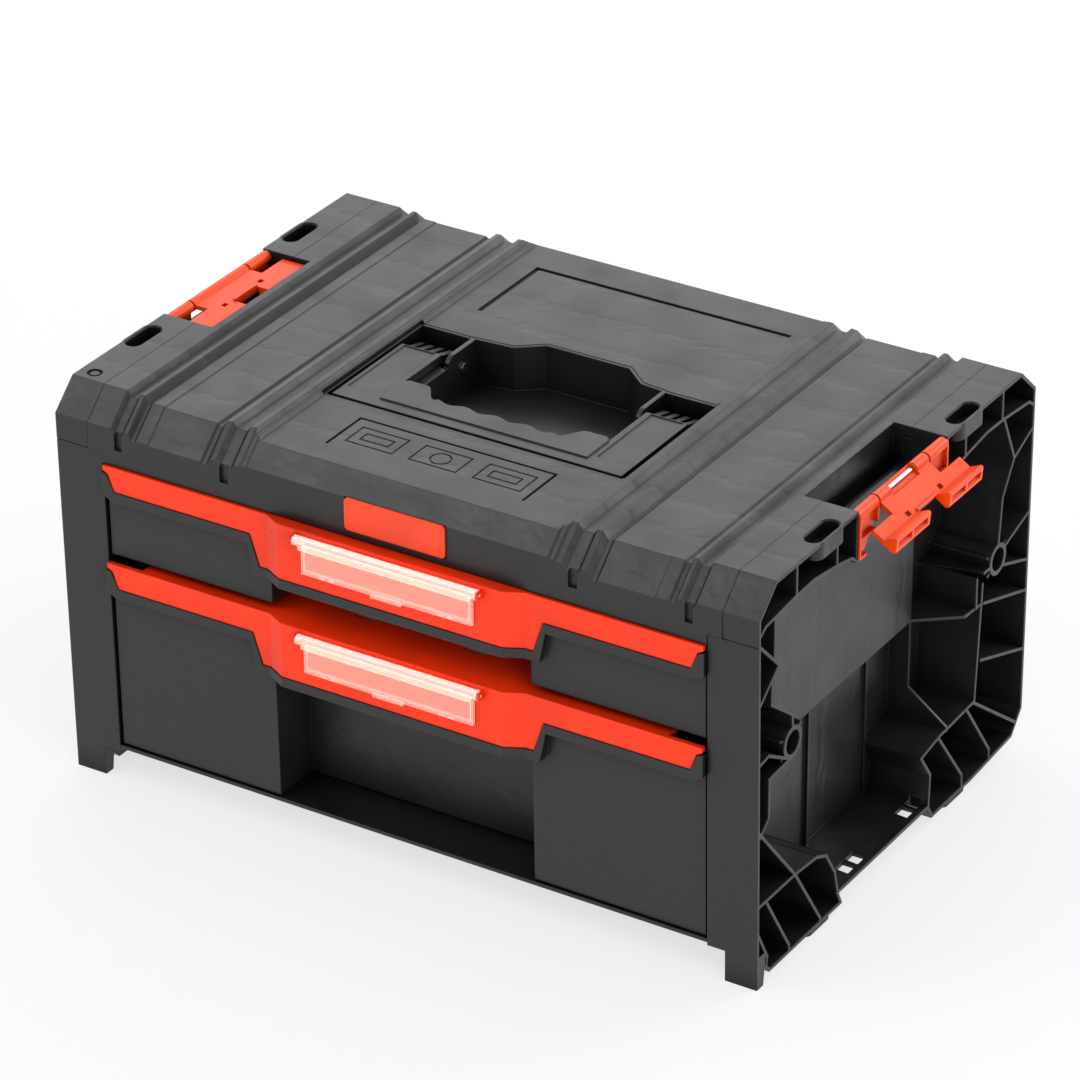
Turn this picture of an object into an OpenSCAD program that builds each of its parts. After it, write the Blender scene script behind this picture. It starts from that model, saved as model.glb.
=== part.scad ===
// Portable tool box with two drawers, a fold-away carry handle and two stacking latches.
// X runs across the front, Y from the front to the back, Z up. The origin is the middle of the
// footprint, on the plane that the feet rest on. Millimetres.

/* [Overall size] */
// Width across the two side frames
box_w = 450; // [430:1:520]
// Depth from the front posts to the back
box_d = 310; // [300:1:340]
// Height from the feet to the top bands
box_h = 246.5; // [236:0.5:280]
// How far the front and back faces lean in from the shoulder to the feet
draft = 4.1; // [0:0.1:6]
// Depth of the slanted shoulder between the top and the front face
shoulder_d = 17.6; // [14:0.1:20]
// Height of the slanted shoulder
shoulder_h = 16.2; // [13:0.1:19]

/* [Side frames] */
// Depth of the open ribbed recess in each side
recess_d = 38; // [36:0.5:42]
// How far the raised panel stands out from the bottom of the recess
panel_rise = 13; // [8:0.5:14]
// Width of the cap that shows beside the top cover
cap_w = 21.7; // [18:0.1:24]
// Width of the front post
post_w = 31; // [29:0.5:36]
// Thickness of the frame walls
frame_wall = 2; // [1.6:0.1:2.6]
// Thickness of the ribs
rib_t = 1.8; // [1.2:0.1:2.4]
// Width of the front leg
leg_w = 19.9; // [14:0.1:24]
// Thickness of the front leg at its foot
leg_t = 6.8; // [5:0.1:10]
// Height of the frame's underside above the ground
frame_lift = 5; // [4:0.1:7]
// Height of the side recess floor's outer edge above the ground
sill_z = 13.5; // [11:0.1:16]
// Outer diameter of the tubes that take the frame screws
boss_d = 19.5; // [16:0.5:22]
// Bore of those tubes
boss_bore = 14; // [10:0.5:15]
// Distance of the tubes in from the front and back faces
boss_in = 38.5; // [37:0.5:50]
// Height of the tubes
boss_z = 138.5; // [130:0.5:145]

/* [Stacking] */
// Length of the stacking sockets in the top
socket_l = 28; // [24:0.5:32]
// Width of the stacking sockets
socket_w = 9.8; // [8:0.1:11]
// Depth of the stacking sockets
socket_depth = 8; // [6:0.5:9]
// Distance of the sockets and feet in front of and behind the middle
socket_y = 78.5; // [74:0.5:84]
// How far the sockets' middle is in from the side
socket_in = 6.2; // [6:0.1:8]
// Play of a foot in the socket of the box below, on each side
socket_play = 0.8; // [0.5:0.1:1.2]

/* [Latches] */
// Width of the notch that holds a latch
notch_w = 99; // [90:1:104]
// How far the notch reaches in from the side
notch_in = 33; // [32:0.5:36]
// Height of the hinge rod below the top
rod_drop = 4; // [4:0.1:6]
// How far the hinge rod is in from the side
rod_in = 2.5; // [2:0.1:4]
// Diameter of the hinge rod
rod_d = 3; // [2.5:0.1:3.4]
// Outer diameter of the hinge barrels
barrel_d = 7; // [6.4:0.1:7.4]
// Room between a stowed latch's hooks and the back of its notch
latch_room = 1.3; // [0.5:0.1:3]
// Thickness of the latch plate
latch_t = 2.6; // [2:0.1:3]
// How far an open latch hangs below level, in degrees
latch_hang = 33; // [20:1:40]

/* [Top cover] */
// Thickness of the cover under its lowest relief
cover_wall = 2.6; // [2:0.1:3]
// Height from the top bands down to the front edge of the fascia
fascia_drop = 39; // [36:0.5:42]
// Depth of the sunken panels below the top bands
panel_drop = 3.9; // [2:0.1:5]
// Half width of the centre panel
centre_half = 96; // [96:0.5:100]
// Width of the fascia plate
badge_w = 64.5; // [40:0.5:80]
// Height of the fascia plate
badge_h = 19.6; // [14:0.1:20]

/* [Carry handle] */
// Width of the handle across its arms
handle_w = 187; // [180:1:187]
// Width of one arm
arm_w = 26.6; // [20:0.1:28]
// Distance of the handle's front edge in front of the middle
handle_front = 75; // [70:0.5:80]
// Thickness of the arms
arm_t = 5.6; // [4:0.1:7]
// Depth of the grip
grip_depth = 14; // [10:0.5:15]
// Distance of the handle's hinge behind the middle
hinge_y = 9; // [7:0.5:10]
// Depth of the handle's hinge below the centre panel
hinge_drop = 12.6; // [12:0.1:14]
// Diameter of the handle pins
handle_pin_d = 4.4; // [3.6:0.1:5]
// Diameter of the handle's knuckles
knuckle_d = 15; // [12:0.5:16]
// Depth of the hand well below the centre panel
well_depth = 27.6; // [22:0.1:29]
// Thickness of the well's walls
well_wall = 1.8; // [1.4:0.1:2.4]

/* [Carcass] */
// Thickness of the carcass walls
carcass_wall = 2.2; // [1.8:0.1:3]
// Height of the carcass underside above the ground
carcass_z = 21; // [20:0.1:23]

/* [Drawers] */
// Height of the upper drawer's front
upper_front_h = 58; // [52:0.5:64]
// Gap between the two drawer fronts
front_gap = 4; // [2:0.5:6]
// Gap between a drawer front and the posts
front_play = 1.6; // [1:0.1:4]
// Half width of the finger recess in a drawer front
grip_half = 84; // [70:1:90]
// Depth of the finger recess
grip_recess = 35; // [25:0.5:36]
// Height of the red bar
bar_h = 15; // [12:0.5:18]
// Height of the red bar where it drops in the middle
bar_drop_h = 34; // [30:0.5:36]
// How far the middle of the bar stands out
bulge = 5.7; // [4:0.1:8]
// Half width of the part of the bar that stands out
bulge_half = 72; // [68:0.5:76]
// Height of the black trim under the red bar
trim_h = 6; // [4:0.5:7]
// Thickness of a drawer's walls
tray_wall = 2; // [1.6:0.1:3]
// Room behind a closed drawer
tray_room = 23.5; // [14:0.5:60]
// Width of a label window
label_w = 109.4; // [90:0.2:112]
// Height of a label window
label_h = 20.4; // [18:0.2:23]

/* [Slides] */
// Height of a slide channel
channel_h = 24; // [20:0.5:28]
// Room behind a slide channel
channel_room = 23; // [14:0.5:60]
// Thickness of the slide steel
steel_t = 1.2; // [1:0.1:1.5]

/* [Hidden] */
$fn = 48;

black = [0.13, 0.13, 0.14];
dark = [0.08, 0.08, 0.085];
red = [0.9, 0.13, 0.07];
orange_red = [0.93, 0.2, 0.1];
steel = [0.72, 0.73, 0.75];
clear = [0.95, 0.75, 0.7, 0.5];

fit = 0.2;         // gap between two fixed pieces that meet face to face
slide_gap = 0.3;   // gap between pieces that slide or swing past each other
pin_gap = 0.05;    // radial gap of a pin in its hole
over = 1;          // how far a cut runs past the face that it opens

half_w = box_w / 2;
half_d = box_d / 2;
fold_y = half_d - shoulder_d;
shoulder_z = box_h - shoulder_h;
panel_z = box_h - panel_drop;
fascia_z = box_h - fascia_drop;
crease_z = fascia_z + 6.2;            // where the caps end above the posts
boss_y = half_d - boss_in;

// where the front face lies at a height, with its lean
function front_y(z) = -half_d + draft * (1 - z / shoulder_z);

plate_x = half_w - recess_d;          // outer face of the recess wall
panel_x = plate_x + panel_rise;       // outer face of the raised panel
seam_x = half_w - cap_w;
post_x = half_w - post_w;
leg_x = half_w - leg_w;
front_half = post_x - front_play;
carcass_x = plate_x - frame_wall - fit;
front_zone = -half_d + 33;            // back of the space for the drawer fronts
bay_x = carcass_x - carcass_wall;
bay_floor = carcass_z + carcass_wall;

bar_top = fascia_z - 0.5;
upper_bottom = bar_top - upper_front_h;
lower_top = upper_bottom - front_gap;
lower_bottom = bay_floor + 0.8;

bar_y = -half_d - 1.7;          // front face of the red bars
bar_t = 3;                      // thickness of the red bars
block_y = -half_d + 1.5;        // front face of the drawer fronts at the shoulder
recess_y = block_y + grip_recess;
bulge_y = bar_y - bulge;
slope_w = bulge * 1.93;         // width of the slanted ends of the bulge

channel_x = bay_x - fit;        // back of a slide channel
channel_d = 7.2;                // depth of a slide channel
tray_x = channel_x - channel_d - 4.7;
channel_y = front_zone + 4;     // front end of the slide channels
channel_l = half_d - channel_room - channel_y;
tray_back = half_d - tray_room;

rod_x = half_w - rod_in;
rod_z = box_h - rod_drop;
arm_x = rod_x - 1;              // back of the drop arms of a latch bracket
latch_reach = notch_in - rod_in - latch_room;
latch_half = notch_w / 2 - 1;   // half width of the hooks
neck_half = 27;                 // half width of the latch at its rod
socket_x = half_w - socket_in;
notch_x = half_w - notch_in;
notch_z = box_h - 29.5;         // lower end of the notch's side walls
pocket_z = box_h - 27;          // floor of the pocket behind a latch

handle_top = panel_z;
hinge_z = panel_z - hinge_drop;
handle_half = handle_w / 2;
opening_x = handle_half + 4.5;
opening_front = handle_front + 4;
opening_back = 23;
well_floor = panel_z - well_depth;
cover_under = panel_z - cover_wall - 0.6;
well_half = 61;
well_front = 70;
well_back = 36;
ear_t = 2.8;
pocket_front = -8;

// the unit vector and the inward mitre of a closed outline that runs anticlockwise
function unit(v) = v / norm(v);
function left_of(v) = [-v[1], v[0]];
function inset(points, d) = [
    for (k = [0 : len(points) - 1])
        let (before = points[(k + len(points) - 1) % len(points)])
        let (after = points[(k + 1) % len(points)])
        let (n1 = left_of(unit(points[k] - before)))
        let (n2 = left_of(unit(after - points[k])))
        points[k] + d * (n1 + n2) / (1 + n1 * n2)
];

// a flat shape drawn in Y and Z, drawn out along X
module along_x(from, to) {
    translate([from, 0, 0]) rotate([90, 0, 90]) linear_extrude(to - from) children();
}

// a flat shape drawn in X and Z, drawn out along Y
module along_y(from, to) {
    translate([0, to, 0]) rotate([90, 0, 0]) linear_extrude(to - from) children();
}

// a box from its lowest to its highest corner
module block(low, high) {
    translate(low) cube(high - low);
}

// a flat bar with round ends along Y
module obround(length, width) {
    square([width, length - width], center = true);
    for (s = [-1, 1]) translate([0, s * (length - width) / 2]) circle(width / 2);
}

module on_both_sides() {
    children();
    mirror([1, 0, 0]) children();
}

// one straight rib between two points, and a chain of them
module rib(from, to) {
    run = to - from;
    translate(from) rotate(atan2(run[1], run[0]))
        translate([-rib_t / 2, -rib_t / 2]) square([norm(run) + rib_t, rib_t]);
}

module ribs(points) {
    for (k = [0 : len(points) - 2]) rib(points[k], points[k + 1]);
}

// ---- side frames ----

heel_in = 13.5;      // bevel under the front post
heel_z = frame_lift + 14.2;
gap_front = -61;     // the opening under the side recess, between the two feet
gap_back = 41;
tail_z = frame_lift + 3.5;
tail_in = 12;
back_z = frame_lift + 17.5;

frame_outline = [
    [front_y(heel_z), heel_z],
    [front_y(heel_z) + heel_in, frame_lift],
    [gap_front + 4, frame_lift],
    [gap_front, sill_z],
    [gap_back, sill_z],
    [gap_back + 5, frame_lift],
    [socket_y + socket_l / 2, frame_lift],
    [half_d - tail_in, tail_z],
    [half_d - 0.4, back_z],
    [half_d, shoulder_z],
    [fold_y, box_h],
    [-fold_y, box_h],
    [-half_d, shoulder_z]
];

// the inside of the top cover, which the frame's plate fits under
cover_outline = [
    [-half_d, 0], [half_d, 0], [half_d, shoulder_z - panel_drop - 1],
    [fold_y, panel_z], [-fold_y, panel_z], [-half_d, shoulder_z - panel_drop - 1]
];
cover_inside = inset(cover_outline, cover_wall + 0.6);

// the ribs that link the outer wall of a side frame to its inner rim
module frame_ribs() {
    rear = half_d;
    fore = -half_d;
    low = sill_z + 39;               // height of the inner rim over the feet
    toe = frame_lift + 10;
    notch_y = notch_w / 2 + rib_t / 2;
    // behind
    ribs([[boss_y - 17.5, boss_z - 8], [boss_y - 22.5, low + 4.5], [gap_back + 11, low + 2.5],
          [gap_back - 9.4, low - 1.1], [gap_back + 2, sill_z + 21.5], [gap_back + 1, sill_z]]);
    ribs([[boss_y - 15.5, step_z], [rear, step_z - 17]]);
    ribs([[boss_y - 16.5, step_z - 36.5], [rear, step_z - 55.5]]);
    ribs([[boss_y - 22.5, low + 3.5], [rear - 6, toe]]);
    ribs([[boss_y - 31.5, low + 3.5], [rear - 40.3, toe], [rear - 40, frame_lift]]);
    ribs([[gap_back + 11, low + 1.5], [gap_back + 40.6, toe], [gap_back + 41, frame_lift]]);
    ribs([[boss_y + 9, boss_z + 5], [rear, boss_z + 14]]);
    ribs([[boss_y + 7, boss_z - 7], [rear, boss_z - 18]]);
    ribs([[boss_y, boss_z + 9], [boss_y + 3, box_h - 70.5], [boss_y + 15.5, box_h - 50.5],
          [rear, box_h - 40.5]]);
    ribs([[boss_y + 15.5, box_h - 50.5], [boss_y + 1.5, box_h - 20.5]]);
    ribs([[boss_y - 24.5, step_z + over], [boss_y - 24.5, boss_z - 2]]);
    // in front
    ribs([[fore, low], [fore + 44, low], [gap_front - 26, low - 2], [gap_front - 15.7, low - 6.5],
          [gap_front - 5.3, sill_z + 16.5], [gap_front - 1, sill_z]]);
    ribs([[fore, low + 51.5], [fore + 44, low], [gap_front - 21, frame_lift + 4],
          [gap_front - 21, frame_lift]]);
    ribs([[fore + 12.5, low], [fore + 39, frame_lift + 5], [fore + 39, frame_lift]]);
    ribs([[fore, low - 8.5], [fore + 15, frame_lift + 11], [fore + 13, frame_lift]]);
    ribs([[fore, box_h - 30.5], [fore + 22.3, box_h - 52.5], [fore, box_h - 70.5]]);
    ribs([[fore + 15.3, box_h - 58.5], [fore + 15.3, box_h - 73.5], [-boss_y - 0.8, boss_z + 17.5],
          [-boss_y, boss_z + 9]]);
    ribs([[fore, boss_z + 2.5], [fore + 13, boss_z + 4.5], [-boss_y - 6, boss_z - 7]]);
    ribs([[fore + 14, boss_z - 10.5], [fore + 14, boss_z - 34.5], [fore, boss_z - 46.5]]);
    ribs([[-boss_y, boss_z - 9], [fore + 14, boss_z - 10.5]]);
    // under the top
    for (s = [-1, 1]) {
        ribs([[s * half_d, box_h - 27.5], [s * (half_d - 7.4), box_h - 22.5],
              [s * (half_d - 39.5), box_h - 19.5], [s * (socket_y + 18.5), box_h - 19],
              [s * (socket_y - 8.5), box_h - 22.5], [s * (notch_w / 2 + 6), box_h - 25.7],
              [s * notch_y, notch_z]]);
        ribs([[s * (half_d - 39.7), box_h - 19.5], [s * (half_d - 39.7), box_h]]);
        ribs([[s * (socket_y - 6.5), box_h - 22.5], [s * (socket_y - 6.5), box_h]]);
        ribs([[s * notch_y, notch_z], [s * notch_y, box_h]]);
    }
}

// the leg under the front post
module front_leg() {
    along_x(leg_x, half_w) polygon([
        [front_y(0), 0], [front_y(0) + leg_t, 0],
        [front_y(heel_z) + leg_t + 2.7, heel_z + 1], [front_y(heel_z), heel_z + 1]
    ]);
}

socket_rim = 0.6;    // step round the mouth of a socket

// a foot that drops into the socket of the box below
module stacking_foot() {
    linear_extrude(frame_lift + frame_wall)
        obround(socket_l - 2 * socket_play, socket_w - 2 * socket_play);
}

// the sloping floor of the side recess
sill_rise = 4.5;
module recess_sill() {
    along_y(gap_front, gap_back) polygon([
        [plate_x - over, sill_z + sill_rise - frame_wall],
        [half_w - 4, sill_z], [half_w, sill_z], [half_w, sill_z + frame_wall],
        [half_w - 3.5, sill_z + frame_wall], [plate_x - over, sill_z + sill_rise]
    ]);
}

// two pairs of windows in that floor, which the latches of the box below hook into
window_l = 8.8;
window_w = 8;
window_gap = 2.4;
window_y = 34;
module sill_windows() {
    for (s = [-1, 1], k = [-1, 1])
        translate([half_w - 4 - window_w, s * window_y + k * (window_l + window_gap) / 2, sill_z])
            block([0, -window_l / 2, -over], [window_w, window_l / 2, sill_rise + over]);
}

// the recess wall, which steps out round the drawer fronts and the leg
module recess_wall() {
    along_x(plate_x - frame_wall, plate_x) polygon(frame_outline);
    intersection() {
        along_x(plate_x - frame_wall, leg_x + frame_wall) polygon(frame_outline);
        union() {
            block([plate_x - frame_wall, front_zone, heel_z],
                  [post_x + frame_wall, front_zone + frame_wall, fascia_z]);
            block([post_x, -half_d, heel_z], [post_x + frame_wall, front_zone + over, crease_z]);
            // below the post the wall lies behind the leg
            block([plate_x - frame_wall, front_zone, 0],
                  [leg_x + frame_wall, front_zone + frame_wall, heel_z + frame_wall]);
            block([leg_x, -half_d, 0], [leg_x + frame_wall, front_zone + over, heel_z + frame_wall]);
            block([post_x, -half_d, heel_z],
                  [leg_x + frame_wall, front_zone + over, heel_z + frame_wall]);
        }
    }
    // upright beads below the raised panel
    for (y = [-33, 32])
        block([plate_x - over, y - 1.5, sill_z + 2], [plate_x + 2.2, y + 1.5, step_z]);
}

// the hollow raised panel in the upper part of the recess
step_z = boss_z - 21;
panel_front = -notch_w / 2 - 44.5;
panel_back = notch_w / 2 + 12.5;
roof_z = pocket_z - cover_wall - fit;
module raised_panel() {
    along_x(plate_x - over, panel_x) polygon([
        [panel_front, step_z + 24], [panel_front + 23, step_z], [panel_back, step_z],
        [panel_back, roof_z], [notch_w / 2, roof_z], [notch_w / 2, pocket_z + 6],
        [-notch_w / 2, pocket_z + 6], [-notch_w / 2, roof_z], [panel_front, roof_z]
    ]);
}

// the inside of that panel, open towards the carcass
module panel_hollow() {
    along_x(plate_x - frame_wall - over, panel_x - frame_wall) polygon([
        [panel_front + frame_wall, step_z + 25], [panel_front + 24, step_z + frame_wall],
        [panel_back - frame_wall, step_z + frame_wall], [panel_back - frame_wall, roof_z - frame_wall],
        [panel_front + frame_wall, roof_z - frame_wall]
    ]);
}

// webs that rise from the recess wall towards the open side
module recess_webs() {
    web_y = panel_back - rib_t;
    // the upright web at the end of the raised panel slants out to the lower ribs
    translate([0, web_y + rib_t, 0]) rotate([90, 0, 0]) linear_extrude(rib_t) polygon([
        [plate_x - over, sill_z + 40.5], [half_w, sill_z + 40.5], [half_w, sill_z + 43.5],
        [panel_x, sill_z + 62.5], [panel_x, roof_z],
        [plate_x - over, roof_z]
    ]);
    translate([0, 0, step_z]) linear_extrude(rib_t) polygon([
        [plate_x - over, web_y], [panel_x, web_y], [half_w - 1, boss_y - 36.5],
        [half_w, boss_y - 18.5], [plate_x - over, boss_y - 18.5]
    ]);
    // level with the tube
    translate([0, 0, boss_z - 2.4]) linear_extrude(rib_t) polygon([
        [plate_x - over, boss_y - 26.5], [half_w, boss_y - 16.5], [half_w, boss_y - 3],
        [plate_x - over, boss_y - 3]
    ]);
}

// the tubes for the frame screws, with short lugs round them
module frame_tube() {
    rotate([0, 90, 0]) cylinder(h = recess_d + over, d = boss_d);
    for (a = [35, 155, 215, 325]) rotate([a, 0, 0])
        block([0, boss_d / 2 - over, -rib_t / 2], [recess_d, boss_d / 2 + 3.2, rib_t / 2]);
}

// the wall that closes the outer side of the notch, behind the arms of the latch bracket
module notch_apron() {
    block([arm_x - fit - frame_wall, -notch_w / 2 - over / 2, notch_z],
          [arm_x - fit, notch_w / 2 + over / 2, rod_z - barrel_d]);
}

module frame_body() {
    notch_apron();
    difference() {
        union() {
            along_x(plate_x - frame_wall, half_w) difference() {
                polygon(frame_outline);
                polygon(inset(frame_outline, frame_wall));
            }
            along_x(plate_x - over, half_w) intersection() {
                polygon(frame_outline);
                frame_ribs();
            }
            recess_wall();
            raised_panel();
            recess_sill();
            recess_webs();
            front_leg();
            for (s = [-1, 1]) {
                translate([plate_x - over, s * boss_y, boss_z]) frame_tube();
                translate([socket_x, s * socket_y, 0]) stacking_foot();
                translate([socket_x, s * socket_y, box_h - socket_depth - frame_wall])
                    linear_extrude(socket_depth + frame_wall)
                        obround(socket_l + 2 * frame_wall, socket_w + 2 * frame_wall);
            }
        }
        for (s = [-1, 1]) {
            translate([plate_x, s * boss_y, boss_z]) rotate([0, 90, 0])
                cylinder(h = recess_d + over, d = boss_bore);
            translate([plate_x - frame_wall - over, s * boss_y, boss_z]) rotate([0, 90, 0])
                cylinder(h = frame_wall + 2 * over, d = screw_d + 2 * fit);
            translate([socket_x, s * socket_y, box_h - socket_depth])
                linear_extrude(socket_depth + over) obround(socket_l, socket_w);
            translate([socket_x, s * socket_y, box_h - socket_rim])
                linear_extrude(socket_rim + over)
                    obround(socket_l + 2 * socket_rim, socket_w + 2 * socket_rim);
        }
        panel_hollow();
        sill_windows();
        // the space for the drawer fronts, and beside the leg
        block([0, -half_d - over, -over], [post_x, front_zone, fascia_z]);
        block([0, -half_d - over, -over], [leg_x, front_zone, heel_z]);
        // crease between the cap and the post
        block([post_x - over, -half_d - over, crease_z],
              [half_w + over, front_y(crease_z) + 0.5, crease_z + 0.8]);
        // the notch in the top, and the room that the top cover and its latch pocket take
        block([panel_x, -notch_w / 2, notch_z], [half_w + over, notch_w / 2, box_h + over]);
        block([notch_x - cover_wall - fit, -notch_w / 2 - cover_wall - fit, roof_z],
              [panel_x - frame_wall, notch_w / 2 + cover_wall + fit, box_h]);
        for (part = [[plate_x - frame_wall - over, post_x, fascia_z - fit], [post_x, seam_x, crease_z]])
            along_x(part[0], part[1]) difference() {
                translate([-half_d - over, part[2]]) square([box_d + 2 * over, box_h]);
                polygon(inset(cover_inside, fit));
            }
        rod_hole();
    }
}

module side_frame_right() {
    color(black) frame_body();
}

module side_frame_left() {
    color(black) mirror([1, 0, 0]) difference() {
        frame_body();
        // a ring sunk into this cap
        translate([half_w - 9.5, -half_d + 25.5, box_h - 1.2]) difference() {
            cylinder(h = 1.2 + over, d = 9);
            cylinder(h = 0.9, d = 5.4);
        }
    }
}

// ---- screws ----

screw_d = 4;
screw_head_d = 8.4;
screw_head_h = 2.8;

// a pan-head screw whose head stands out along +X from its seat
module screw(grip) {
    difference() {
        rotate([0, 90, 0]) cylinder(h = screw_head_h, d = screw_head_d);
        for (a = [0, 90]) rotate([a, 0, 0])
            block([screw_head_h - 1.4, -2.2, -0.5], [screw_head_h + over, 2.2, 0.5]);
    }
    translate([-grip, 0, 0]) rotate([0, 90, 0]) cylinder(h = grip, d = screw_d);
}

module frame_screw_pair() {
    for (s = [-1, 1])
        translate([plate_x + fit / 4, s * boss_y, boss_z])
            screw(frame_wall + carcass_wall + fit);
}

module frame_screws_right() {
    color(steel) frame_screw_pair();
}

module frame_screws_left() {
    color(steel) mirror([1, 0, 0]) frame_screw_pair();
}

// ---- carcass ----

// the tub that holds the drawers: floor, two sides and a ribbed back
carcass_top = fascia_z + 24;
module carcass() {
    carcass_front = front_y(carcass_z) + 4;
    wall_front = front_zone + fit;
    back_face = half_d - 0.4;
    color(dark) difference() {
        union() {
            block([-carcass_x, carcass_front, carcass_z], [carcass_x, back_face, bay_floor]);
            // the floor widens between the posts, with a lip along the front
            block([-post_x + fit, front_y(carcass_z), carcass_z],
                  [post_x - fit, front_zone - fit, bay_floor]);
            on_both_sides() intersection() {
                block([bay_x, wall_front, carcass_z],
                      [carcass_x, back_face - 4, carcass_top]);
                along_x(bay_x, carcass_x) polygon(inset(cover_inside, fit));
            }
            block([-carcass_x, back_face - carcass_wall, carcass_z],
                  [carcass_x, back_face, fascia_z - fit]);
            // beads that stiffen the back
            for (x = [-120, -40, 40, 120])
                block([x - 2, back_face - 8, carcass_z], [x + 2, back_face, fascia_z - fit]);
            block([-carcass_x, back_face - 8, 128], [carcass_x, back_face, 131]);
        }
        // sunken fields in the back
        for (x = [-120, -40, 40, 120]) {
            block([x - 34, back_face - 0.9, 40], [x + 34, back_face + over, 118]);
            block([x - 34, back_face - 0.9, 140], [x + 34, back_face + over, fascia_z - 14]);
        }
        on_both_sides() for (s = [-1, 1])
            translate([bay_x - over, s * boss_y, boss_z]) rotate([0, 90, 0])
                cylinder(h = carcass_wall + 2 * over, d = screw_d + 2 * fit);
    }
}

// ---- top cover ----

line_w = 3;          // width of the drawn grooves in the centre panel
line_depth = 1.4;
groove_in = 1.9;     // depth of the upright grooves in the fascia
deep_drop = panel_drop + 1.1;
// the relief across the top, from the centre panel outwards:
// distance from the centre panel's edge, drop on the flat, drop at the shoulder
relief = [
    [0, panel_drop, -1.2],
    [1.5, 2, -0.6],
    [3.5, 2, -0.6],
    [5.4, 0, 0],
    [8.8, 0.2, 0.1],
    [11.5, panel_drop - 0.3, panel_drop - 0.1],
    [18.3, panel_drop - 0.3, panel_drop - 0.1],
    [20.8, 0.3, 0.3],
    [24.3, 0.8, 0.6],
    [27.4, deep_drop, deep_drop - 0.2],
    [29.8, deep_drop, deep_drop - 0.2],
    [31.2, panel_drop, panel_drop],
    [66, panel_drop, panel_drop],
    [66.5, panel_drop - 0.5, panel_drop - 0.5],
    [74.4, panel_drop - 0.4, panel_drop - 0.5],
    [75.4, panel_drop + 0.6, panel_drop + 0.5],
    [77.9, panel_drop + 0.5, panel_drop + 0.5],
    [79.8, 0.3, 0.3],
    [82.2, 0.3, 0.3],
    [84.4, panel_drop - 0.5, panel_drop - 0.5],
    [89.4, panel_drop - 0.5, panel_drop - 0.5],
    [91.4, 0, 0]
];
// upright grooves in the fascia: distance from the centre panel's edge, and width
fascia_grooves = [[13, 5.5], [84.4, 4.8]];

// the relief as an outline: its drops from the given column times a factor, and a hair wider
module relief_outline(column, factor, wider) {
    edge = seam_x - fit;
    deep = box_h + box_d;
    last = len(relief) - 1;
    middle = centre_half + wider;
    polygon(concat(
        [[edge, -deep], [edge, 0]],
        [for (k = [last : -1 : 0]) [middle + relief[k][0], -relief[k][column] * factor]],
        [for (k = [0 : last]) [-middle - relief[k][0], -relief[k][column] * factor]],
        [[-edge, 0], [-edge, -deep]]
    ));
}

module shoulder_prism(slope) {
    translate([0, -fold_y, box_h]) rotate([90 + slope, 0, 0]) translate([0, 0, -box_d])
        linear_extrude(2 * box_d) relief_outline(2, cos(slope), 0.12);
}

// the solid outside of the cover: the relief runs along the top and down both shoulders
module cover_skin() {
    slope = atan(shoulder_h / shoulder_d);
    intersection() {
        translate([0, 0, box_h]) rotate([90, 0, 0]) translate([0, 0, -box_d])
            linear_extrude(2 * box_d) relief_outline(1, 1, 0);
        shoulder_prism(slope);
        mirror([0, 1, 0]) shoulder_prism(slope);
        block([-seam_x + fit, -half_d, fascia_z], [seam_x - fit, half_d, box_h + over]);
    }
}

// the outline of the deep part of the hand well, grown on every side
module well_outline(grow) {
    polygon(inset([
        [-well_half, -well_front], [well_half, -well_front], [well_half, opening_back - 1],
        [46.5, opening_back + 0.5], [31.5, well_back], [-22.5, well_back],
        [-37.5, opening_back + 1], [-well_half, opening_back - 1]
    ], -grow));
}

// a flat outline of a box, one millimetre wide
module drawn_box(w, h) {
    difference() {
        square([w, h], center = true);
        square([w - 2, h - 2], center = true);
    }
}

module handle_opening(grow) {
    translate([-opening_x - grow, -opening_front - grow])
        square([2 * (opening_x + grow), opening_front + opening_back + 2 * grow]);
    well_outline(well_wall + grow);
}

module top_cover() {
    color(black) {
        difference() {
            cover_skin();
            along_x(-seam_x, seam_x) polygon(inset(cover_outline, cover_wall));
            // the corners stop short above the posts
            on_both_sides()
                block([post_x - fit, -box_d, 0], [seam_x, box_d, crease_z + fit]);
            translate([0, 0, panel_z - 20]) linear_extrude(40) handle_opening(fit);
            on_both_sides() block([notch_x, -notch_w / 2, pocket_z], [half_w, notch_w / 2, box_h + over]);
            // grooves that run down the fascia
            on_both_sides() for (g = fascia_grooves)
                block([centre_half + g[0], -half_d - over, fascia_z + 10],
                      [centre_half + g[0] + g[1], -half_d + groove_in, shoulder_z]);
            // drawn lines round the back field and the front field
            block([-80, 53.5, panel_z - line_depth], [-80 + line_w, 118, panel_z + over]);
            block([-80, 118 - line_w, panel_z - line_depth], [89, 118, panel_z + over]);
            for (x = [-64, 62])
                block([x, -126, panel_z - line_depth], [x + 1.6, -91, panel_z + over]);
            block([-64, -92.6, panel_z - line_depth], [63.6, -91, panel_z + over]);
            // three fields with a plain ring and bars in front of the handle
            for (x = [-41, 0, 41]) translate([x, -109, panel_z - line_depth / 2]) linear_extrude(over + 1) {
                drawn_box(31, 19);
                if (x == 0) difference() {
                    circle(6.4);
                    circle(5.4);
                }
                else drawn_box(19, 8);
            }
            // seat of the fascia plate
            block([-badge_w / 2 - fit, -half_d - over, badge_z - fit],
                  [badge_w / 2 + fit, -half_d + 0.6, badge_z + badge_h + fit]);
        }
        on_both_sides() latch_pocket();
        on_both_sides() cover_tongue();
    }
}

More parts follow.
